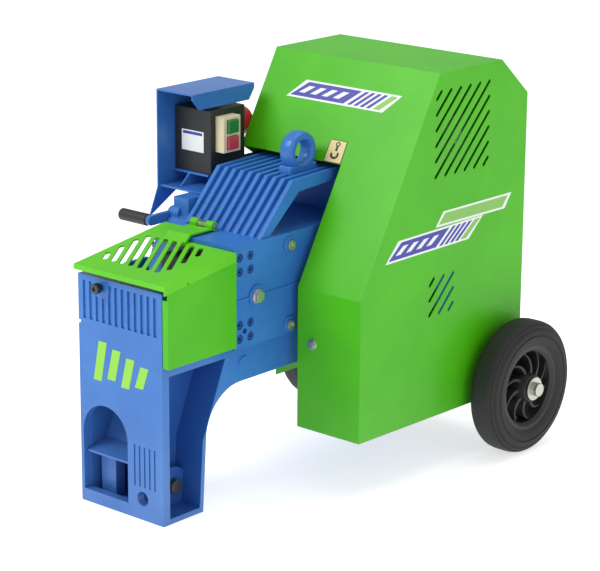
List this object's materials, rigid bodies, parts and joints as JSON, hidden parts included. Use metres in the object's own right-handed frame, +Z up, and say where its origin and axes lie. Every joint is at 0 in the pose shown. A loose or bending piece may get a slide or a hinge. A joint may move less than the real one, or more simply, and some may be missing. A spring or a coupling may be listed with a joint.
{
  "type": "rebar cutter",
  "caption": "Wheeled electric bar cutter: cast foot and gearbox with a lidded cutting throat, motor and flywheel under a sheet-metal hood, switch box and hand lever.",
  "frame": {"origin": "on the ground under the middle of the machine's bounding box", "axes": "+X to the machine's right (the side with the guard plate), +Y from the foot to the wheels, +Z up"},
  "size_m": [0.559, 0.867, 0.735],
  "materials": {
    "blue_casting": "semi-gloss enamel over sand casting",
    "blue_sheet": "semi-gloss powder coat",
    "green_sheet": "semi-gloss powder coat",
    "tool_steel": "ground",
    "dark_steel": "oiled",
    "zinc": "zinc plated",
    "motor_paint": "matt paint",
    "tyre_rubber": "matt",
    "black_plastic": "fine texture",
    "ivory_plastic": "satin",
    "green_plastic": "gloss",
    "red_plastic": "gloss",
    "belt_rubber": "matt"
  },
  "bodies": {
    "frame": {"frame_leg": "blue_casting", "gearbox_beam": "blue_casting", "front_plate": "blue_casting", "throat_wall": "blue_casting", "chip_chute": "blue_sheet", "foot_bolt": "dark_steel", "front_jaw_block": "blue_casting", "fixed_blade": "tool_steel", "blade_screws": "dark_steel", "upper_guide": "dark_steel", "lower_guide": "dark_steel", "return_spring": "tool_steel", "guide_screws": "dark_steel", "body_bolts": "zinc", "gearbox_body": "blue_casting", "gear_case": "blue_casting", "gear_case_screws": "dark_steel", "ribbed_cover": "blue_casting", "lifting_eye": "blue_casting", "crank_bearings": "tool_steel", "shaft_bearings": "tool_steel", "v_belts": "belt_rubber", "motor_body": "motor_paint", "motor_fan_cover": "motor_paint", "terminal_box": "motor_paint", "motor_shelf": "blue_sheet", "rear_chassis": "blue_sheet", "hood": "green_sheet", "hood_bolts": "zinc", "axle": "zinc", "axle_washers": "zinc", "side_guard": "green_sheet", "lid_hinge_pin": "tool_steel", "switch_bracket": "blue_sheet", "switch_box": "black_plastic", "button_bezel": "ivory_plastic", "power_inlet": "red_plastic", "motor_cable": "black_plastic"},
    "ram": {"ram": "tool_steel", "moving_blade": "tool_steel"},
    "crank": {"crankshaft": "tool_steel", "crank_gear": "dark_steel"},
    "pitman": {"pitman": "tool_steel"},
    "intermediate": {"intermediate_shaft": "tool_steel", "fast_gear": "dark_steel"},
    "flywheel": {"flywheel_shaft": "tool_steel", "flywheel": "dark_steel"},
    "motor_rotor": {"motor_shaft": "tool_steel", "motor_pulley": "dark_steel"},
    "wheel_left": {"tyre_left": "tyre_rubber", "hub_left": "black_plastic"},
    "wheel_right": {"tyre_right": "tyre_rubber", "hub_right": "black_plastic"},
    "lid": {"lid": "green_sheet"},
    "knob": {"lid_knob": "black_plastic"},
    "lever": {"lever_arm": "blue_sheet", "lever_grip": "black_plastic", "lever_shaft": "tool_steel"},
    "start": {"start_button": "green_plastic"},
    "stop": {"stop_button": "red_plastic"}
  },
  "joints": [
    {"name": "flywheel_spin", "type": "hinge", "parent": "frame", "child": "flywheel", "pos_m": [0, 0.08525, 0.366], "axis": [1, 0, 0], "continuous": true},
    {"name": "motor_spin", "type": "hinge", "parent": "frame", "child": "motor_rotor", "pos_m": [0, 0.1915, 0.6], "axis": [1, 0, 0], "continuous": true},
    {"name": "intermediate_spin", "type": "hinge", "parent": "frame", "child": "intermediate", "pos_m": [0, -0.0085, 0.366], "axis": [1, 0, 0], "continuous": true},
    {"name": "crank_spin", "type": "hinge", "parent": "frame", "child": "crank", "pos_m": [0, -0.1235, 0.366], "axis": [1, 0, 0], "continuous": true},
    {"name": "pitman_pivot", "type": "hinge", "parent": "crank", "child": "pitman", "pos_m": [0, -0.1045, 0.366], "axis": [1, 0, 0], "continuous": true},
    {"name": "ram_slide", "type": "slide", "parent": "frame", "child": "ram", "axis": [0, -1, 0], "range_m": [0, 0.038], "stiffness_N_per_m": 1500, "springref_m": -0.02, "deforming": ["return_spring"]},
    {"name": "lid_hinge", "type": "hinge", "parent": "frame", "child": "lid", "pos_m": [-0.12, -0.1965, 0.472], "axis": [-1, 0, 0], "range_deg": [0, 95]},
    {"name": "knob_turn", "type": "hinge", "parent": "frame", "child": "knob", "pos_m": [-0.126, -0.4205, 0.398], "axis": [0, -1, 0], "range_deg": [0, 90]},
    {"name": "lever_swing", "type": "hinge", "parent": "frame", "child": "lever", "pos_m": [-0.2, -0.1605, 0.468], "axis": [1, 0, 0], "range_deg": [0, 25], "stiffness_Nm_per_rad": 2, "springref_deg": -20.05},
    {"name": "start_press", "type": "slide", "parent": "frame", "child": "start", "axis": [-1, 0, 0], "range_m": [0, 0.004], "stiffness_N_per_m": 400, "springref_m": -0.004},
    {"name": "stop_press", "type": "slide", "parent": "frame", "child": "stop", "axis": [-1, 0, 0], "range_m": [0, 0.004], "stiffness_N_per_m": 400, "springref_m": -0.004},
    {"name": "wheel_left_spin", "type": "hinge", "parent": "frame", "child": "wheel_left", "pos_m": [-0.2335, 0.3055, 0.125], "axis": [1, 0, 0], "continuous": true},
    {"name": "wheel_right_spin", "type": "hinge", "parent": "frame", "child": "wheel_right", "pos_m": [0.2335, 0.3055, 0.125], "axis": [1, 0, 0], "continuous": true}
  ],
  "couplings": [
    {"joint": "motor_spin", "follows": "flywheel_spin", "ratio": 2.9348},
    {"joint": "intermediate_spin", "follows": "flywheel_spin", "ratio": -0.36364},
    {"joint": "crank_spin", "follows": "flywheel_spin", "ratio": 0.10101},
    {"joint": "pitman_pivot", "follows": "flywheel_spin", "ratio": -0.10101}
  ]
}
